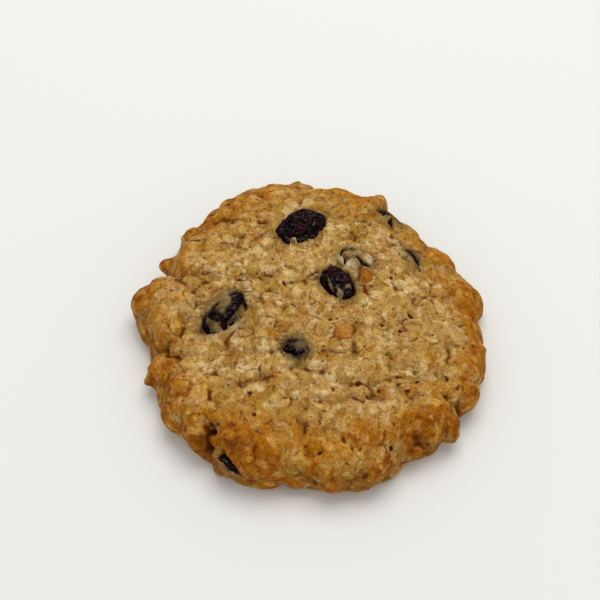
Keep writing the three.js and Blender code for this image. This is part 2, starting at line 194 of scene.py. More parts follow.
# The dough's skin over each raisin: whether it covers all but its tears or is left only in shreds, how deep below
# the crust the raisin may lie and still be laid bare, how far it shows through the skin, how much pale crumb clings
# to it, how strongly its juice has stained the dough round it, and the tears or shreds. Each of them is a half
# width and a run of places on the raisin's own skin peeled flat: mm across it and along it from its top.
SKINS = {
    "raisin_back": (False, 1, 0.1, 0.8, 0.3, [(0.7, [(3.2, -7.3), (4.3, -6.4), (6.1, -6.9)])]),
    "raisin_middle": (False, 0, 0.8, 0.3, 0.8, [
        (0.6, [(2, 0.8), (2.3, 1.9), (2.8, 3.4), (3.5, 5.5)]),
        (0.35, [(0.8, 3), (2.2, 3.8), (3.9, 6.3)]),
        (0.35, [(1.3, 3.2), (-0.1, 2.9), (-1, 3.1), (-1, 4.5)]),
        (0.4, [(1.1, -3.4), (2.3, -1.4), (2.7, 0.5), (3.6, 2.1)]),
        (0.5, [(-4.2, -1.8), (-4, -0.2), (-3, 1.3)]),
        (0.8, [(-3.2, -5.4), (-0.6, -6), (2.2, -5.6)]),
    ]),
    "raisin_veiled": (True, 2.4, 0.6, 1, 0.4, [
        (0.3, [(1.1, -3), (-0.8, -3.6), (-1.4, -2.3), (-1.7, -0.2)]),
        (0.45, [(2.7, -4.3), (4.1, -3.5), (5.1, -2.2), (4.7, -0.6)]),
        (0.25, [(1.4, -2.2), (2.9, -1.3), (4, -1.3)]),
        (0.35, [(0.9, 0.6), (1.1, 1.8), (1.5, 2.8), (2.2, 3.2)]),
        (0.3, [(2.1, 2.8), (1.9, 4.5), (0.7, 6.4), (-0.5, 9)]),
    ]),
    "raisin_left": (True, 2.4, 1.1, 0.05, 0.5, [
        (0.4, [(-0.9, 4.5), (-0.5, 5.8), (0.2, 6.5), (1.8, 6.7), (4, 6.4)]),
        (0.55, [(3.2, 6.9), (5.4, 6.6), (7.6, 6)]),
        (0.95, [(0.5, 6), (2.1, 4.9), (2.3, 2.2), (2.8, 0.2), (3.3, -2.1), (5.1, -4.2)]),
        (0.3, [(0.7, 3.6), (0.1, 4.9), (0.9, 4.6)]),
        (1.1, [(-2, -3.4), (0.1, -2.2), (1.7, -2), (3.1, -1.1)]),
        (0.35, [(-1.6, 0.7), (-1.5, -1.2), (-1.2, -2.9)]),
        (0.7, [(-1.6, -3.6), (-1.2, -5.3), (0.6, -6.2), (2.4, -8)]),
        (0.35, [(1.9, -7), (3.5, -6.5), (4.5, -5.5), (5.3, -3.9)]),
        (0.5, [(5.5, -4.6), (5.3, -2.5), (5.3, -0.7), (5.7, 1.2)]),
        (0.3, [(5.1, 0.4), (5.9, 1.9), (8.1, 4.9)]),
    ]),
    "raisin_sunk": (True, 3.4, 1.5, 0.1, 1, [
        (0.8, [(-0.2, -2.1), (0.1, -0.8), (1.1, -0.2), (2.8, 0.1)]),
        (0.4, [(1.6, 0.4), (2.4, 1.4), (1.7, 2.8)]),
        (0.3, [(-1.7, -0.7), (-0.9, 0.5), (-1.4, 1.9)]),
        (0.35, [(-0.7, -3), (0.3, -4), (2.2, -4.1)]),
        (0.45, [(1.5, 3.7), (3.1, 5.8), (4.8, 2.5), (5.5, 0)]),
    ]),
    "raisin_rim": (True, 2.4, 0.6, 0.2, 0.5, [
        (0.8, [(2.2, -10.6), (3.3, -5.2), (3.4, -1.2), (1.8, 0.6)]),
        (0.4, [(2.5, 0.5), (1.3, 2.2), (0.3, 4.2), (-1.3, 7.2)]),
        (0.35, [(2.8, 1.5), (4.4, 3.9), (4.2, 7.6)]),
    ]),
    "raisin_right": (True, 3.2, 1.2, 0.1, 0.5, [
        (0.25, [(-0.8, -4.3), (-0.2, -1.6), (-0.2, 0.3), (0.2, 1.4)]),
        (0.45, [(0.1, 0.5), (0.3, 1.9), (-0.6, 4.3)]),
        (0.45, [(1.7, -1.4), (2.3, 0.2), (2.4, 2)]),
    ]),
    "raisin_front": (True, 2.4, 0.15, 0.1, 0.2, [
        (0.75, [(-1.2, -5.5), (-1.2, -2.7), (-0.8, -1), (-0.4, 0.8), (0.7, 3.2)]),
    ]),
}
FILM_THICKNESS = 0.18
BARE_DEPTH = 0.9  # how far below the raisin's skin the dough lies where it is bare, which clears its wrinkles
BARE_SLOPE = 2  # how much lower it lies for each mm that it was inside the raisin
TORN_EDGE = 0.3  # over which the skin ends
SEE_THROUGH = 1.3  # from a tear's edge, over which the raisin shows through the skin most
THICK_VEIL = 0.4  # share of that which still shows through further off
SKIN_START = 0.5  # how far the raisin reaches over the crust where the skin has its full colour
STAIN_REACH = 2.2  # how far the juice spreads into the dough

# Half widths in cells of the net over which the crust is evened out.
CREASE_CELLS = 2  # to find creases, which are painted dark as shade
DRAWN_CELLS = 3  # where it is drawn over a raisin's side
PROUD_CELLS = 7  # to find what stands proud, which browns more, and the hollows, which are painted dark as shade

# The numbers that each point of the dough carries for its colour. Those of creases, hollows and pits carry
# painted shade, and that of the walls carries both their browning and painted shade.
MARKS = (
    "crease_shade", "hollow", "golden", "browning", "tone", "bran", "pit_shade", "caramel", "damp", "flank_brown_and_shade", "foot", "film",
    "pale", "under",
)
GOLDEN_ANGLE = np.pi * (3 - np.sqrt(5))


def smooth(x):
    """0 below 0, 1 above 1, and 3x^2 - 2x^3 between."""
    x = np.clip(x, 0, 1)
    return x * x * (3 - 2 * x)


def bell(x):
    """A round hill of height 1: e to the power of minus x squared."""
    return np.exp(-x * x)


def lerp(low, high, share):
    return low + (high - low) * share


def dice(i, j=0, k=0):
    """A repeatable number from 0 to 1 for a whole-numbered place: the fraction left by a large sine."""
    v = np.sin(i * 127.1 + j * 311.7 + k * 74.7) * 43758.5453
    return v - np.floor(v)


def noise(p, cell, seed=0):
    """Smooth noise from -1 to 1: dice at the corners of a cube of side cell, blended between them."""
    q = p / cell + seed
    low = np.floor(q)
    t = smooth(q - low)
    total = 0
    for corner in itertools.product((0, 1), repeat=3):
        share = np.prod(np.where(corner, t, 1 - t), axis=-1)
        total = total + share * dice(*np.moveaxis(low + corner, -1, 0))
    return 2 * total - 1


def length(v):
    return np.sqrt((v * v).sum(-1))


def outline(angle):
    """Distance of the widest ring from the middle: a plain round plus one bell for each lobe or bay."""
    degrees = np.degrees(angle)
    r = np.full(np.shape(angle), float(RADIUS))
    for at, reach, width in LOBES:
        gap = (degrees - at) % 360
        gap = np.where(gap > 180, gap - 360, gap)
        r = r + reach * bell(gap / width)
    return r


def meridian():
    """The section from crown to foot: a quarter superellipse down to the widest ring, then a quarter ellipse that
    tucks in to the foot. Gives the share of the outline and the height, by the share of the way along."""
    a = np.arange(MERIDIAN_STEPS + 1) / MERIDIAN_STEPS * np.pi / 2
    power = 2 / SHOULDER
    dome = np.stack([np.sin(a) ** power, WIDEST_AT + (HEIGHT - WIDEST_AT) * np.cos(a).clip(0) ** power], 1)
    tuck = np.stack([1 - TUCK / RADIUS * (1 - np.cos(a)), WIDEST_AT * (1 - np.sin(a))], 1)[1:]
    points = np.concatenate([dome, tuck])
    steps = length(np.diff(points * [RADIUS, 1], axis=0))
    along = np.concatenate([[0], np.cumsum(steps)])
    return along / along[-1], points[:, 0], points[:, 1]


ALONG, RADII, HEIGHTS = meridian()


def smooth_crust(a, b):
    """The crust before anything stands out of it. (a, b) is a place on a unit disc whose middle is the crown and
    whose edge is the foot; the section gives radius and height by the distance from the disc's middle."""
    down = np.minimum(np.hypot(a, b), 1)
    angle = np.arctan2(b, a)
    r = outline(angle) * np.interp(down, ALONG, RADII)
    return np.stack([r * np.cos(angle), r * np.sin(angle), np.interp(down, ALONG, HEIGHTS)], -1)


def crust_normal(a, b):
    """The outward direction of the smooth crust, from the cross product of its two slopes."""
    inward = np.minimum(1, (1 - 2e-3) / np.maximum(np.hypot(a, b), 1e-9))
    u, v, step = a * inward, b * inward, 1e-3
    du = smooth_crust(u + step, v) - smooth_crust(u - step, v)
    dv = smooth_crust(u, v + step) - smooth_crust(u, v - step)
    n = np.cross(du, dv)
    return n / length(n)[..., None]


def disc_place(degrees, distance):
    """The disc place of a point given by angle and distance from the middle, on the upper side."""
    angle = np.radians(degrees)
    dome = slice(0, MERIDIAN_STEPS + 1)
    down = np.interp(np.minimum(distance / outline(angle), 1), RADII[dome], ALONG[dome])
    return down * np.cos(angle), down * np.sin(angle)


def on_crust(degrees, distance):
    return smooth_crust(*disc_place(degrees, distance))


def nearest_on_run(p, points):
    """Distance from each p to the nearest point of a run of straight pieces, and that point's share of the run."""
    pieces = np.diff(points, axis=0)
    reached = np.concatenate([[0], np.cumsum(length(pieces))])
    least, share = np.full(p.shape[:-1], np.inf), np.zeros(p.shape[:-1])
    for start, piece, before in zip(points, pieces, reached):
        t = ((p - start) @ piece / (piece @ piece)).clip(0, 1)
        far = length(p - start - t[..., None] * piece)
        share = np.where(far < least, (before + t * length(piece)) / reached[-1], share)
        least = np.minimum(least, far)
    return least, share


def sunflower(count, seed, reach=0.97):
    """Places spread evenly over the disc: each one turned on by the golden angle, at the root of its share."""
    i = np.arange(count)
    down = reach * np.sqrt((i + 0.5) / count)
    angle = i * GOLDEN_ANGLE + 0.3 * dice(i, seed)
    return down * np.cos(angle), down * np.sin(angle), down


def bent(p, cell, reach, seed):
    """Each p moved by up to reach in a direction of its own, by three noises."""
    return p + reach * np.stack([noise(p, cell, seed + k) for k in (1, 2, 3)], -1)


def main_relief(p):
    """How far the crust stands out from the smooth one, as in the part's source: wide noise, swells, nubs, the
    highest of the lumps, and less an exponential groove for each cleft. A lump is its rise times one minus the
    square of the share of its width. Lumps and clefts are measured from a bent place, which makes them ragged."""
    h = 0.55 * noise(p, 17) + 0.35 * noise(p, 8, 5) - LUMP_SINK
    for degrees, distance, width, rise in SWELLS:
        h = h + rise * bell(length(p - on_crust(degrees, distance)) / width)
    for degrees, down, width, reach in NUBS:
        angle = np.radians(degrees)
        at = smooth_crust(down * np.cos(angle), down * np.sin(angle))
        h = h + reach * bell(length(p - at) / width)
    a, b, down = sunflower(LUMPS, 1)
    i = np.arange(LUMPS)
    rises = lerp(*LUMP_RISE, dice(i, 3)) * np.where(down > RIM_LUMPS[0], RIM_LUMPS[1], 1)
    ragged = bent(p, *RAGGED, 10)
    lump = np.zeros(h.shape)
    for at, width, rise in zip(smooth_crust(a, b), lerp(*LUMP_WIDTH, dice(i, 2)), rises):
        np.maximum(lump, rise * (1 - (length(ragged - at) / width) ** 2), out=lump)
    h = h + lump
    for depth, width, run in CLEFTS:
        points = np.array([on_crust(*place) for place in run])
        h = h - depth * np.exp(-nearest_on_run(ragged, points)[0] / width)
    return h


def disc_to_net(a, b):
    """The net's row and column nearest to a disc place, the other way round from square_to_disc: the distance
    becomes the larger coordinate, and the angle within its quarter the other one."""
    angle, reach = np.arctan2(b, a), np.hypot(a, b)
    turn = np.round(angle / (np.pi / 2)) * np.pi / 2
    other = reach * (angle - turn) * 4 / np.pi
    u = reach * np.cos(turn) - other * np.sin(turn)
    v = reach * np.sin(turn) + other * np.cos(turn)
    return np.rint((np.stack([u, v], -1) + 1) / 2 * CRUST_CELLS).astype(int)


def patch_of_net(row, column, reach):
    """The part of the net that lies within so many cells of a place."""
    return slice(max(row - reach, 0), row + reach + 1), slice(max(column - reach, 0), column + reach + 1)


def flake_relief(p):
    """Oat flakes pressed in at a slant. Each is an oval plate with a steep edge: its rise, plus a slope along and
    across it, times a plateau that falls to nothing at the oval's rim, less a groove along its middle. Gives the
    height of the highest flake at each p, that flake's own tone, from -1 for toasted to 1 for pale, and how much
    of a brown bran edge shows there."""
    draw = np.random.default_rng(SEED)
    a, b, _ = sunflower(FLAKES, 5, 0.985)
    normals = crust_normal(a, b)
    ragged = bent(p, 1.5, 0.4, 60)
    top, tones, bran = (np.zeros(p.shape[:-1]) for _ in range(3))
    for at, n, (row, column) in zip(smooth_crust(a, b), normals, disc_to_net(a, b)):
        patch = patch_of_net(row, column, FLAKE_WINDOW)
        turn = draw.uniform(0, 2 * np.pi)
        side = np.cross(n, [np.cos(turn), np.sin(turn), 0.3])
        side /= length(side)
        half_long, half_wide = draw.uniform(*FLAKE_LENGTH) / 2, draw.uniform(*FLAKE_WIDTH) / 2
        rise = draw.uniform(*FLAKE_RISE)
        slope_x, slope_y = draw.uniform(-FLAKE_SLOPE, FLAKE_SLOPE, 2)
        tone = draw.uniform(-1, 1)
        branny = draw.uniform(0.4, 1) * (draw.uniform() < BRAN_SHARE)
        x, y = (ragged[patch] - at) @ np.cross(side, n), (ragged[patch] - at) @ side
        share = np.hypot(x / half_long, y / half_wide)
        plate = rise + slope_x * x + slope_y * y - 0.1 * bell(y / 0.25)
        height = plate * smooth((1 - share) / 0.22)
        above = height > top[patch]
        edge = branny * smooth((share - 0.7) / 0.2) * smooth((plate - 0.05) / 0.2)
        for whole, mine in ((top, height), (tones, tone), (bran, edge)):
            whole[patch] = np.where(above, mine, whole[patch])
    return top, tones, bran


def crumb_relief(p):
    """Crumb between the flakes: at three sizes, the absolute value of noise on a bent place, which makes puffs
    with sharp grooves between them. It is rough in places and smooth in others."""
    rough = 0.35 + 0.65 * smooth(0.5 + 1.4 * noise(p, 6, 33))
    h = sum(rise * (np.abs(noise(bent(p, 1.5 * size, 0.6 * size, 70), size, 75)) - 0.3) for size, rise in CRUMB)
    return rough * h


def sliver_relief(p):
    """Slivers of oat: a ridge along each run, flat on top and falling off at its half width. Gives its height and
    the share of sliver at each p."""
    height, share = np.zeros(p.shape[:-1]), np.zeros(p.shape[:-1])
    for width, rise, run in SLIVERS:
        points = np.array([on_crust(*place) for place in run])
        ridge = smooth((1 - nearest_on_run(p, points)[0] / width) / 0.6)
        height, share = np.maximum(height, rise * ridge), np.maximum(share, ridge)
    return height, share


def pit_relief(p):
    """Blown bubbles and holes: each is a bell pressed in, and the deepest counts."""
    a, b, _ = sunflower(PITS, 17, 0.95)
    i = np.arange(PITS)
    pits = list(zip(smooth_crust(a, b), lerp(*PIT_WIDTH, dice(i, 18)), lerp(*PIT_DEPTH, dice(i, 19))))
    pits += [(on_crust(degrees, distance), width, depth) for degrees, distance, width, depth in HOLES]
    hole = np.zeros(p.shape[:-1])
    ragged = bent(p, 0.9, 0.45, 90)
    for at, width, depth in pits:
        np.maximum(hole, depth * bell(length(ragged - at) / width), out=hole)
    return hole


def crack_relief(p):
    """Short cracks: exponential grooves along wandering runs."""
    wandering = bent(p, 1.8, 0.5, 80)
    groove = np.zeros(p.shape[:-1])
    for depth, width, run in CRACKS:
        points = np.array([on_crust(*place) for place in run])
        np.maximum(groove, depth * np.exp(-nearest_on_run(wandering, points)[0] / width), out=groove)
    return groove


def from_tears(q, runs):
    """How far each q lies outside the nearest tear's edge, negative within. A tear's half width grows from nothing
    at one end of its run to the whole at the middle and back to nothing, as the root of 4t(1 - t) for the share t
    of the run."""
    wavering = bent(q, 1.2, 0.25, 87)
    least = np.full(q.shape[:-1], np.inf)
    for width, run in runs:
        far, t = nearest_on_run(wavering, np.array([(*place, 0) for place in run]))
        np.minimum(least, far - width * np.sqrt(4 * t * (1 - t)), out=least)
    return least


def square_to_disc(a, b):
    """A place on a square carried to the unit disc: the larger coordinate becomes the distance, and the ratio of
    the two becomes the angle within its quarter."""
    flat = np.abs(a) > np.abs(b)
    reach = np.where(flat, a, b)
    with np.errstate(divide="ignore", invalid="ignore"):
        angle = np.where(flat, np.pi / 4 * (b / a), np.pi / 2 - np.pi / 4 * (a / b))
    angle = np.where(reach == 0, 0, angle)
    return reach * np.cos(angle), reach * np.sin(angle)


def blurred(field, cells):
    """Each value of the net replaced by the mean over a square window, by running sums, twice."""
    for _ in range(2):
        for axis in (0, 1):
            wide = np.pad(field, [(cells + 1, cells) if k == axis else (0, 0) for k in (0, 1)], mode="edge")
            run = np.cumsum(wide, axis)
            size = field.shape[axis]
            high = np.take(run, np.arange(size) + 2 * cells + 1, axis)
            field = (high - np.take(run, np.arange(size), axis)) / (2 * cells + 1)
    return field


# ---------------------------------------------------------------- raisins


def raisin_place(name):
    """The raisin's middle and its turn, as in the part's source: tilt about X, then yaw about Z, then the least
    turn that carries Z to the crust's own outward direction."""
    _, at, lift, yaw, tilt = RAISINS[name]
    a, b = disc_place(np.degrees(np.arctan2(at[1], at[0])), np.hypot(*at))
    n = crust_normal(a, b)
    x, y = np.radians(tilt), np.radians(yaw - 90)
    tilted = np.array([[1, 0, 0], [0, np.cos(x), -np.sin(x)], [0, np.sin(x), np.cos(x)]])
    turned = np.array([[np.cos(y), -np.sin(y), 0], [np.sin(y), np.cos(y), 0], [0, 0, 1]])
    c = np.cross([0, 0, 1], n)
    cross = np.array([[0, -c[2], c[1]], [c[2], 0, -c[0]], [-c[1], c[0], 0]])
    level = np.eye(3) + cross + cross @ cross / (1 + n[2])
    return smooth_crust(a, b) + n * lift, level @ turned @ tilted


def raisin_half(name):
    """Half sizes across, along and through the raisin."""
    size = RAISINS[name][0]
    return np.array([size[1], size[0], size[2]]) / 2


def folded(direction, seed):
    """Share of the radius in a direction: one, plus noise drawn out along the length."""
    return 1 + FOLD_DEPTH * noise(direction * [2.2, 0.8, 2.2], 1, seed)


def raisin_depth(p, name, seed):
    """How far inside the raisin each p lies, about, in mm; negative outside."""
    centre, turn = raisin_place(name)
    q = (p - centre) @ turn / raisin_half(name)
    far = np.maximum(length(q), 1e-6)
    return (1 - far / folded(q / far[..., None], seed)) * raisin_half(name).mean()


def way_out(p, normal, name, seed):
    """How far each p has to go along its normal to come out of the raisin; negative where the raisin lies below,
    and minus infinity where the way misses it. It is the larger root of the quadratic for the ovoid, found again
    as the folds at that place change its radius."""
    centre, turn = raisin_place(name)
    half = raisin_half(name)
    start, way = (p - centre) @ turn / half, normal @ turn / half
    a, b = (way * way).sum(-1), (start * way).sum(-1)
    radius = 1
    for _ in range(3):
        inner = b * b - a * ((start * start).sum(-1) - radius**2)
        far = (np.sqrt(np.maximum(inner, 0)) - b) / a
        end = start + far[..., None] * way
        radius = folded(end / length(end)[..., None], seed)
    return np.where(inner > 0, far, -np.inf)


def peeled(p, name):
    """Each p on the raisin's skin peeled flat: its angle from the raisin's top drawn out by the raisin's half
    sizes, in mm across and along, with nothing for the third."""
    centre, turn = raisin_place(name)
    half = raisin_half(name)
    q = (p - centre) @ turn / half
    level = np.maximum(np.hypot(q[..., 0], q[..., 1]), 1e-6)
    spread = np.arctan2(level, q[..., 2]) / level
    return q * spread[..., None] * half * [1, 1, 0]


# ---------------------------------------------------------------- meshes


def make_mesh(name, points, triangles, marks, material):
    """A mesh object with its place in its mesh, in metres, smooth faces, and one number a point for each mark."""
    mesh = bpy.data.meshes.new(name)
    mesh.from_pydata(((points - MIDDLE) * MM).tolist(), [], triangles.tolist())
    mesh.polygons.foreach_set("use_smooth", np.ones(len(triangles), bool))
    for mark, values in marks.items():
        mesh.attributes.new(mark, "FLOAT", "POINT").data.foreach_set("value", values.astype(np.float32))
    mesh.materials.append(material)
    piece = bpy.data.objects.new(name, mesh)
    bpy.context.scene.collection.objects.link(piece)
    return piece


def net_triangles(n):
    """Two triangles for each cell of an n by n net, the diagonals turned about like a draughtboard."""
    i, j = np.meshgrid(np.arange(n), np.arange(n), indexing="ij")
    p, q = i * (n + 1) + j, (i + 1) * (n + 1) + j
    r, s = q + 1, p + 1
    odd = ((i + j) % 2 == 1)[..., None]
    first = np.where(odd, np.stack([p, q, r], -1), np.stack([p, q, s], -1))
    second = np.where(odd, np.stack([p, r, s], -1), np.stack([q, r, s], -1))
    return np.concatenate([first.reshape(-1, 3), second.reshape(-1, 3)])


def rim_of_net(n):
    """The net's border points in order, anticlockwise seen from above."""
    k = np.arange(n)
    return np.concatenate([k * (n + 1), n * (n + 1) + k, (n - k) * (n + 1) + n, n - k])


def base_points(rim, count):
    """Rings of the flat underside: every so many points of the foot drawn in to the middle in even steps, lifted
    by shallow bubbles where the dough didn't touch the tray."""
    spokes = rim[:: len(rim) // BASE_SPOKES]
    share = 1 - (np.arange(count) + 0.4) / count
    points = spokes[None] * share[:, None, None]
    hollow = np.maximum(noise(points, 3.5, 21) - 0.25, 0) * 0.6 + np.maximum(noise(points, 1.4, 4) - 0.4, 0) * 0.3
    points[..., 2] = hollow * smooth((1 - share) * 12)[:, None]
    return points.reshape(-1, 3)


def base_triangles(rim, first, count):
    """Joins the foot to the first ring by a fan for each spoke, ring to ring by two triangles a cell, and the
    last ring to the middle. All face down."""
    edges, each = len(rim), len(rim) // BASE_SPOKES
    j, k = np.arange(edges), np.arange(BASE_SPOKES)
    after = np.roll(k, -1)
    out = [np.stack([rim[(j + 1) % edges], rim[j], first + j // each], 1)]
    out.append(np.stack([rim[((k + 1) * each) % edges], first + k, first + after], 1))
    for ring in range(count - 1):
        outer, inner = first + ring * BASE_SPOKES, first + (ring + 1) * BASE_SPOKES
        out.append(np.stack([outer + after, outer + k, inner + k], 1))
        out.append(np.stack([outer + after, inner + k, inner + after], 1))
    last = first + (count - 1) * BASE_SPOKES
    out.append(np.stack([last + after, last + k, np.full(BASE_SPOKES, last + BASE_SPOKES)], 1))
    return np.concatenate(out)


def sugar_lumps(p):
    """Lumps of sugar: each rises smoothly from its ragged edge to 1. Gives how brown or pale a lump colours each p,
    and its height."""
    ragged = bent(p, 1.6, 0.4, 95)
    caramel, swollen = np.zeros(p.shape[:-1]), np.zeros(p.shape[:-1])
    for degrees, distance, width, paler in CARAMEL:
        lump = smooth((1 - length(ragged - on_crust(degrees, distance)) / width) / 0.7)
        np.maximum(caramel, paler * smooth(1.7 * lump), out=caramel)
        np.maximum(swollen, lump, out=swollen)
    return caramel, swollen


def skins_over_raisins(p, out, normal):
    """Moves the crust along its normal at each raisin. Where dough covers the raisin it is drawn out to lie a film
    above it. In a tear, or beside the shreds, it is drawn in below the raisin's skin. The crust gets no pocket: the
    buried side of a raisin lies inside it. p is the smooth crust and out the one with its relief. Gives the moves
    and the marks of the juice, of the film and of the pale crumb on it."""
    moves, damp, film, pale = (np.zeros(out.shape[:-1]) for _ in range(4))
    crumbs = smooth(0.5 + 1.6 * noise(bent(p, 1.5, 0.6, 92), 2.4, 96))
    for seed, (name, (covered, reach, veil, paleness, stain, runs)) in enumerate(SKINS.items()):
        inside, far = raisin_depth(out, name, seed), way_out(out, normal, name, seed)
        within = far > -reach
        beside = from_tears(peeled(out + normal * np.where(within, far, 0)[..., None], name), runs)
        torn = smooth(0.5 - beside / TORN_EDGE) * within
        skin = 1 - torn if covered else torn
        over = skin * smooth(far / SKIN_START)
        damp = np.maximum(damp, stain * smooth(1 + inside / STAIN_REACH))
        film = np.maximum(film, veil * over * lerp(THICK_VEIL, 1, smooth(1 - beside / SEE_THROUGH)))
        pale = np.maximum(pale, paleness * over * crumbs)
        bare = np.where(far > 0, -BARE_DEPTH - BARE_SLOPE * inside, np.where(within, far - BARE_DEPTH, 0))
        drawn = np.where(far > 0, far + FILM_THICKNESS, blurred(np.maximum(far, 0), DRAWN_CELLS))
        touched = within & ((far > 0) | (skin < 1)) | (covered & (drawn > 0.01))
        moves = np.where(touched, lerp(bare, drawn, skin), moves)
    return moves, damp, film, pale


def make_dough(material):
    """The dough: a square net wrapped over the dome by square_to_disc and pushed out by the relief, drawn over or
    under the raisins, pressed flat at the tray, and closed by the flat underside."""
    n = CRUST_CELLS
    u, v = np.meshgrid(np.linspace(-1, 1, n + 1), np.linspace(-1, 1, n + 1), indexing="ij")
    a, b = square_to_disc(u, v)
    p, normal = smooth_crust(a, b), crust_normal(a, b)
    down = np.hypot(a, b)
    flakes, tone, bran = flake_relief(p)
    slivers, sliver = sliver_relief(p)
    caramel, swollen = sugar_lumps(p)
    pits, cracks = pit_relief(p), crack_relief(p)
    toasted = toasting(p)
    shoulder = GLAZED_SHOULDER * smooth((down - 0.6) / 0.3)
    glazed = np.maximum(np.maximum(GLAZED * toasted, shoulder), GLAZED_LUMP * smooth(swollen * 2))
    fine = (FLAKE_SHARE * flakes + crumb_relief(p)) * (1 - glazed) + slivers + swollen
    relief = main_relief(p) + fine * smooth((1 - down) / FINE_FADE) - pits - cracks
    out = p + normal * (relief * smooth((1 - down) / FOOT_FADE))[..., None]
    moves, damp, film, pale = skins_over_raisins(p, out, normal)
    out = out + normal * moves[..., None]
    out[..., 2] = np.maximum(out[..., 2], 0)
    out[(np.abs(u) == 1) | (np.abs(v) == 1), 2] = 0
    flat = out.reshape(-1, 3)
    rim = rim_of_net(n)
    base = base_points(flat[rim], BASE_RINGS)
    points = np.concatenate([flat, base, [[0, 0, 0]]])
    triangles = np.concatenate([net_triangles(n), base_triangles(rim, len(flat), BASE_RINGS)])
    proud = relief - blurred(relief, PROUD_CELLS)
    golden, browning = crust_browning(p, down, proud, toasted)
    upper = {
        # Painted shade: darker where the crust lies below its evened-out self, in creases.
        "crease_shade": (blurred(relief, CREASE_CELLS) - relief) * (0.4 + smooth(0.5 + 1.5 * noise(p, 1.8, 98))),
        # Painted shade: darker in the hollows, where the crust lies below its wider evening-out.
        "hollow": -proud,
        "golden": golden,
        "browning": browning,
        "tone": tone * (1 - sliver) + sliver,
        "bran": bran,
        # Painted shade: darker at the bottom of pits and cracks.
        "pit_shade": np.clip(np.maximum(pits, cracks) / 0.7, 0, 1),
        "caramel": caramel,
        "damp": damp,
        # The walls, where the dome turns down: darker, partly their own browning and partly painted shade.
        "flank_brown_and_shade": smooth((down - 0.72) / 0.2) * smooth(0.7 + noise(p, 4, 97)),
        "foot": smooth((down - 0.93) / 0.05),
        "film": film,
        "pale": pale,
        "under": np.zeros(down.shape),
    }
    lower = {"golden": 1.0, "browning": 0.5, "under": 1.0}
    marks = {}
    for mark in MARKS:
        marks[mark] = np.concatenate([upper[mark].ravel(), np.full(len(base) + 1, lower.get(mark, 0.0))])
    return make_mesh("dough_crust", points, triangles, marks, material)


def toasting(p):
    """How far the oven toasted the crust, from 0 to 1: the highest of the bells over the toasted places, on a bent
    place so that their outlines are ragged."""
    ragged = bent(p, 2.5, 1, 47)
    toasted = np.zeros(p.shape[:-1])
    for degrees, distance, width, strength in TOASTED:
        far = length(ragged - on_crust(degrees, distance)) / width
        np.maximum(toasted, strength * bell(far), out=toasted)
    return toasted


def crust_browning(p, down, proud, toasted):
    """How far the oven dried the crust to gold, and how far it browned it, from 0 to 1. The gold grows with the
    radius in patches, sooner at the front. The brown lies in a thin band where the crust turns down to the tray,
    in patches on what stands proud near the rim, and on the toasted places."""
    angle = np.degrees(np.arctan2(p[..., 1], p[..., 0])) % 360
    front = bell((angle - 250) / 60)
    radius = np.hypot(p[..., 0], p[..., 1]) + 3 * noise(p, 9, 41) + 1.6 * noise(p, 3.2, 43)
    patchy = smooth(0.5 + 1.3 * noise(bent(p, 3, 1, 44), 5, 45) + 0.5 * noise(p, 2, 46) + 0.7 * proud)
    golden = smooth((radius - 28 + 5 * front) / 12) * (0.35 + 0.65 * patchy)
    band = bell((down - 0.84 + 0.03 * noise(p, 3, 48)) / 0.05)
    edge = smooth((radius - 33 + 5 * front) / 8)
    return golden, np.clip(0.5 * edge * patchy + 0.5 * band * patchy + toasted * smooth(0.75 + 0.6 * proud), 0, 1)


def make_raisin(name, seed, material):
    """A raisin: an ovoid with long folds. Over them lie sharp ridges and sharp grooves, both from the absolute value
    of noise drawn out along the length, and a finer crumple."""
    around, along = RAISIN_SPOKES, RAISIN_RINGS
    theta = np.linspace(0, 2 * np.pi, around, endpoint=False)
    phi = np.linspace(0, np.pi, along + 1)[1:-1]
    phi, theta = np.meshgrid(phi, theta, indexing="ij")
    ring = np.stack([np.sin(phi) * np.cos(theta), np.cos(phi), np.sin(phi) * np.sin(theta)], -1).reshape(-1, 3)
    direction = np.concatenate([ring, [[0, 1, 0], [0, -1, 0]]])
    half = raisin_half(name)
    q = direction * folded(direction, seed)[:, None] * half
    wavy = bent(q, 2.5, 0.5, 50 + seed)
    ridge = smooth(np.abs(noise(wavy * [1, 0.4, 1], 1.5, 61 + seed)) * 2.4)
    groove = smooth(1 - np.abs(noise(wavy * [1, 0.6, 1], 2.6, 66 + seed)) * 2.4)
    crumple = smooth(np.abs(noise(wavy, 0.8, 71 + seed)) * 2)
    depth = RIDGE_DEPTH * ridge + GROOVE_DEPTH * groove + CRUMPLE_DEPTH * crumple
    q = q - direction / length(direction)[:, None] * depth[:, None]
    centre, turn = raisin_place(name)
    points = q @ turn.T + centre
    k, t = np.arange(len(phi) - 1)[:, None] * around, np.arange(around)
    after = np.roll(t, -1)
    quads = np.stack(np.broadcast_arrays(k + t, k + after, k + around + after, k + around + t), -1).reshape(-1, 4)
    triangles = np.concatenate([quads[:, [0, 1, 2]], quads[:, [0, 2, 3]]])
    last = (len(phi) - 1) * around
    north, south = len(ring), len(ring) + 1
    top = np.stack([np.full(around, north), after, t], 1)
    bottom = np.stack([np.full(around, south), last + t, last + after], 1)
    triangles = np.concatenate([triangles, top, bottom])
    # The mark from the wrinkles' depth paints the deeper ones blacker, as shade.
    return make_mesh(name + "_skin", points, triangles, {"wrinkle_shade": depth / DARKEST_DEPTH}, material)


# ---------------------------------------------------------------- materials


def linear(hex_colour):
    """An sRGB hex value as linear red, green, blue and one."""
    s = [int(hex_colour[k : k + 2], 16) / 255 for k in (1, 3, 5)]
    return [c / 12.92 if c <= 0.04045 else ((c + 0.055) / 1.055) ** 2.4 for c in s] + [1]


def per_size(size):
    """The scale of a pattern whose features are that many millimetres apart."""
    return 1 / (size * MM)


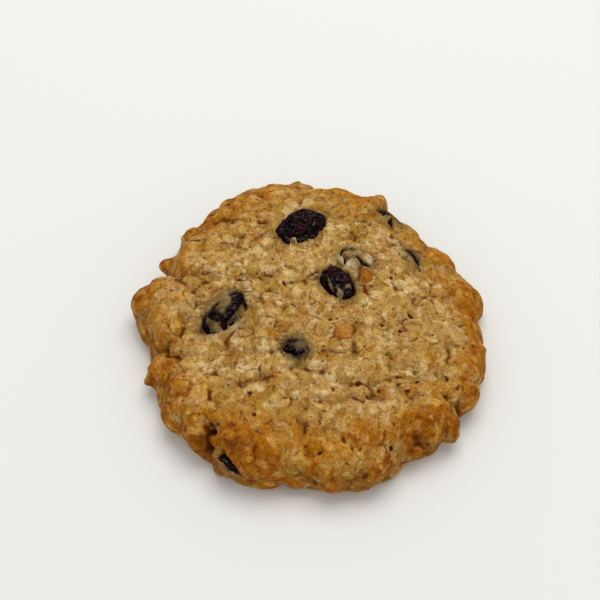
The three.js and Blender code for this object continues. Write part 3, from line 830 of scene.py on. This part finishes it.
def add(tree, kind, links=None, **settings):
    """Adds a node of that kind, sets what it is told, and links or fills its inputs by name or number."""
    made = tree.nodes.new(kind)
    for key, value in settings.items():
        setattr(made, key, value)
    for key, value in (links or {}).items():
        if isinstance(value, bpy.types.NodeSocket):
            tree.links.new(value, made.inputs[key])
        else:
            made.inputs[key].default_value = value
    return made


def new_material(name):
    material = bpy.data.materials.new(name)
    material.use_nodes = True
    material.node_tree.nodes.clear()
    return material


# The dough's patterns: how far apart in mm, detail, and the noise values that count as none and all of it.
DOUGH_PATTERNS = {
    "olive": (4.6, 1.5, 0.52, 0.62),
    "pink": (5.2, 1.5, 0.5, 0.62),
    "cream": (3.2, 2.0, 0.5, 0.62),
    "amber": (3.0, 2.0, 0.56, 0.66),
    "smudge": (1.7, 2.0, 0.55, 0.66),
    "butter": (2.6, 2.5, 0.52, 0.66),
    "cover": (2.4, 1.5, 0.38, 0.62),
    "speck": (1.0, 2.0, 0.63, 0.69),
}


def dough_material():
    """Baked oat dough: matt and crumbly. Where it stayed soft it is pale tan with olive, pink and cream patches and
    amber flecks; towards the rim it dried out to gold and brown. Bran is dark, pits, hollows and creases are painted
    dark as shade, and the walls are partly browned and partly painted dark as shade. Sugar lumps are caramel-brown,
    and the underside is browner. Dough next to a raisin is stained with its juice, and the film over one is
    grey-brown with pale crumb on it. The fine grit is painted darker in its lows and lighter on its highs, as
    shade and light."""
    material = new_material("baked_oat_dough")
    tree = material.node_tree
    place = add(tree, "ShaderNodeTexCoord").outputs["Object"]
    mark = {}
    for name in MARKS:
        mark[name] = add(tree, "ShaderNodeAttribute", attribute_name=name).outputs["Fac"]
    pattern = {}
    for number, (name, (size, detail, low, high)) in enumerate(DOUGH_PATTERNS.items()):
        made = add(
            tree,
            "ShaderNodeTexNoise",
            {"Vector": place, "W": float(number), "Scale": per_size(size), "Detail": detail, "Roughness": 0.55},
            noise_dimensions="4D",
        )
        pattern[name] = add(tree, "ShaderNodeMapRange", {0: made.outputs[0], 1: low, 2: high}).outputs[0]
    cover = add(tree, "ShaderNodeMapRange", {0: pattern["cover"], 1: 0.0, 2: 1.0, 3: 0.3, 4: 1.35}).outputs[0]
    baked = add(tree, "ShaderNodeMath", {0: mark["browning"], 1: cover}, operation="MULTIPLY").outputs[0]
    # Each layer of colour: what it follows, the values at which it starts and is full, its most, and its colour.
    layers = [
        (pattern["olive"], 0.0, 1.0, 0.75, "#A6862E"),
        (pattern["pink"], 0.0, 1.0, 0.6, "#C2965E"),
        (mark["tone"], 0.1, 0.9, 0.85, "#DEBA7A"),
        (pattern["cream"], 0.0, 1.0, 0.8, "#E4C88A"),
        (mark["tone"], -0.2, -0.9, 0.75, "#946422"),
        (mark["golden"], 0.0, 1.0, 0.87, "#B6780E"),
        (pattern["amber"], 0.0, 1.0, 0.8, "#AA6C0A"),
        (pattern["smudge"], 0.0, 1.0, 0.6, "#7E501A"),
        # The walls: partly browned and partly painted shade.
        (mark["flank_brown_and_shade"], 0.0, 1.0, 0.75, "#864A00"),
        (baked, 0.05, 0.5, 0.75, "#B46C08"),
        (baked, 0.4, 0.95, 0.85, "#944E02"),
        (baked, 1.0, 1.35, 0.6, "#6A3602"),
        (pattern["butter"], 0.0, 1.0, 0.6, "#DCAE58"),
        (mark["foot"], 0.0, 1.0, 0.6, "#CCAA5C"),
        (mark["bran"], 0.2, 1.0, 0.85, "#743E08"),
        # Painted shade in the hollows.
        (mark["hollow"], 0.1, 0.9, 0.8, "#763E00"),
        # Painted shade in the creases.
        (mark["crease_shade"], 0.06, 0.28, 0.85, "#602A02"),
        (mark["caramel"], 0.0, 0.3, 1.0, "#A25A0A"),
        (mark["caramel"], 0.3, 0.9, 0.9, "#C88A3A"),
        (mark["under"], 0.0, 1.0, 0.75, "#7E4C16"),
        (mark["damp"], 0.0, 1.0, 0.8, "#6A5428"),
        (mark["film"], 0.0, 1.0, 0.96, "#3C2C1C"),
        (mark["pale"], 0.0, 1.0, 0.95, "#E2CC9E"),
        (pattern["speck"], 0.0, 1.0, 0.85, "#542A0A"),
        # Painted shade at the bottom of pits and cracks.
        (mark["pit_shade"], 0.25, 0.9, 0.9, "#4A2006"),
    ]
    colour = linear("#BC904A")
    for source, start, full, most, hue in layers:
        share = add(tree, "ShaderNodeMapRange", {0: source, 1: start, 2: full, 4: most}).outputs[0]
        colour = add(tree, "ShaderNodeMix", {0: share, 6: colour, 7: linear(hue)}, data_type="RGBA").outputs[2]
    grit = add(
        tree,
        "ShaderNodeTexNoise",
        {"Vector": place, "Scale": per_size(0.6), "Detail": 4.0, "Roughness": 0.7},
    ).outputs[0]
    # Painted shade and light: the colour is darker in the grit's lows and lighter on its highs, in step with its
    # bump.
    shade = add(tree, "ShaderNodeMapRange", {0: grit, 1: 0.32, 2: 0.68, 3: 0.56, 4: 1.2}).outputs[0]
    colour = add(
        tree, "ShaderNodeMix", {0: 1.0, 6: colour, 7: shade}, data_type="RGBA", blend_type="MULTIPLY"
    ).outputs[2]
    bump = add(tree, "ShaderNodeBump", {"Height": grit, "Distance": 0.3 * MM, "Strength": 1.0})
    skin = add(
        tree,
        "ShaderNodeBsdfPrincipled",
        {
            "Base Color": colour,
            "Roughness": 0.75,
            "IOR": 1.45,
            "Specular IOR Level": 0.1,
            "Normal": bump.outputs[0],
        },
    )
    add(tree, "ShaderNodeOutputMaterial", {"Surface": skin.outputs[0]})
    return material


def raisin_material():
    """Sun-dried grape skin: near-black with a maroon mottle, painted blacker in the wrinkles as shade, and glossy
    only along the crests of the finest ones."""
    material = new_material("dried_raisin_skin")
    tree = material.node_tree
    place = add(tree, "ShaderNodeTexCoord").outputs["Object"]
    wrinkle_shade = add(tree, "ShaderNodeAttribute", attribute_name="wrinkle_shade").outputs["Fac"]
    mottle = add(tree, "ShaderNodeTexNoise", {"Vector": place, "Scale": per_size(2.2), "Detail": 3.0}).outputs[0]
    share = add(tree, "ShaderNodeMapRange", {0: mottle, 1: 0.38, 2: 0.62}).outputs[0]
    colour = add(tree, "ShaderNodeMix", {0: share, 6: linear("#0C0404"), 7: linear("#340C0E")}, data_type="RGBA")
    # Painted shade: the deeper the wrinkles, the blacker the colour.
    colour = add(
        tree, "ShaderNodeMix", {0: wrinkle_shade, 6: colour.outputs[2], 7: linear("#050203")}, data_type="RGBA"
    )
    crinkle = add(tree, "ShaderNodeTexNoise", {"Vector": place, "Scale": per_size(1.1), "Detail": 3.0}).outputs[0]
    from_crest = add(tree, "ShaderNodeMath", {0: crinkle, 1: 0.5}, operation="SUBTRACT").outputs[0]
    from_crest = add(tree, "ShaderNodeMath", {0: from_crest}, operation="ABSOLUTE").outputs[0]
    gloss = add(tree, "ShaderNodeMapRange", {0: from_crest, 1: 0.0, 2: 0.022, 3: 1.0, 4: 0.02}).outputs[0]
    bump = add(
        tree, "ShaderNodeBump", {"Height": from_crest, "Distance": 0.5 * MM, "Strength": 0.8}, invert=True
    )
    skin = add(
        tree,
        "ShaderNodeBsdfPrincipled",
        {
            "Base Color": colour.outputs[2],
            "Roughness": 0.25,
            "IOR": 1.4,
            "Specular IOR Level": gloss,
            "Normal": bump.outputs[0],
        },
    )
    add(tree, "ShaderNodeOutputMaterial", {"Surface": skin.outputs[0]})
    return material


def floor_material():
    """Plain pale floor: matt, nearly white."""
    material = new_material("plain_pale_floor")
    tree = material.node_tree
    skin = add(tree, "ShaderNodeBsdfPrincipled", {"Base Color": linear("#E6E6E0"), "Roughness": 0.9})
    add(tree, "ShaderNodeOutputMaterial", {"Surface": skin.outputs[0]})
    return material


# ---------------------------------------------------------------- the scene


FLOOR_REACH = 4000.0  # from the middle to each side
CAMERA_PLACE = (-2.2, -231.0, 350.2)  # from the crown's plan middle
CAMERA_TILT = 35  # degrees from straight down, so 55 above the table
LENS = 102
SENSOR = 36


def make_floor():
    side = FLOOR_REACH
    corners = np.array([[-side, -side, 0], [side, -side, 0], [side, side, 0], [-side, side, 0]])
    floor = make_mesh("floor", corners, np.array([[0, 1, 2], [0, 2, 3]]), {}, floor_material())


def make_camera():
    """Looks down on the cookie from the front, 55 degrees above the table, through a long lens."""
    camera = bpy.data.objects.new("camera", bpy.data.cameras.new("camera"))
    camera.data.lens = LENS
    camera.data.sensor_width = SENSOR
    camera.location = (np.array(CAMERA_PLACE) - MIDDLE) * MM
    camera.rotation_euler = (np.radians(CAMERA_TILT), 0, 0)
    bpy.context.scene.collection.objects.link(camera)
    bpy.context.scene.camera = camera


def make_light(name, place, aim, size, power, colour):
    """A square soft light at a place, turned to face a point."""
    lamp = bpy.data.lights.new(name, "AREA")
    lamp.size = size * MM
    lamp.energy = power
    lamp.color = linear(colour)[:3]
    light = bpy.data.objects.new(name, lamp)
    light.location = np.array(place) * MM
    back = np.array(place) - np.array(aim)
    across = np.hypot(back[0], back[1])
    light.rotation_euler = (np.arctan2(across, back[2]), 0, np.arctan2(back[0], -back[1]))
    bpy.context.scene.collection.objects.link(light)


def make_studio():
    make_light("window", (90, 290, 940), (0, 0, 0), 700, 5.2, "#FFFEFA")
    world = bpy.data.worlds.new("room")
    world.use_nodes = True
    world.node_tree.nodes["Background"].inputs["Color"].default_value = linear("#F7F9FD")
    world.node_tree.nodes["Background"].inputs["Strength"].default_value = 0.71
    bpy.context.scene.world = world
    bpy.context.scene.view_settings.view_transform = "Standard"


make_floor()
make_camera()
make_studio()

dough = make_dough(dough_material())
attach(dough, "root")
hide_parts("dough")

skin_finish = raisin_material()
for number, name in enumerate(RAISINS):
    raisin = make_raisin(name, number, skin_finish)
    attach(raisin, "root")
    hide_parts(name)
